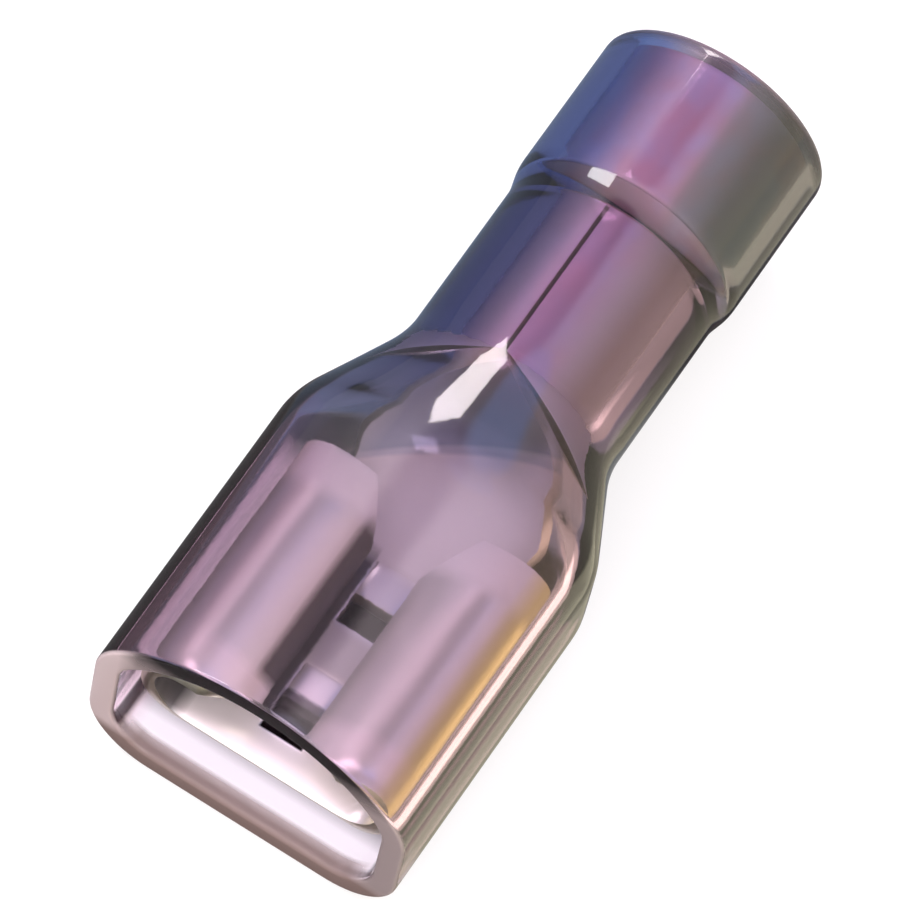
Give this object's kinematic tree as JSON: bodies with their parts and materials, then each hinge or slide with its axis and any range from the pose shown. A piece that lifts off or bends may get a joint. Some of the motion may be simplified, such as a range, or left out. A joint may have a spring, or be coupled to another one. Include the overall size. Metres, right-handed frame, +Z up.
{
  "type": "female spade terminal",
  "caption": "Fully insulated female spade terminal: rolled receptacle for a flat tab and a crimp barrel for a wire, in a translucent moulded cover.",
  "frame": {"origin": "under the middle of the part, on the plane of the socket's flat underside", "axes": "+X from the mouth of the socket along the wire axis to the wire entry, +Z up through the crown of the socket"},
  "size_m": [0.0222, 0.009, 0.007],
  "materials": {
    "insulating_cover": "glossy translucent blue-violet nylon",
    "receptacle_terminal": "bright tin plate over brass",
    "wire_support_sleeve": "thinly tinned copper, rosy where the tin is thin"
  },
  "bodies": {
    "root": {"insulating_cover": "insulating_cover", "receptacle_terminal": "receptacle_terminal", "wire_support_sleeve": "wire_support_sleeve"}
  },
  "joints": []
}
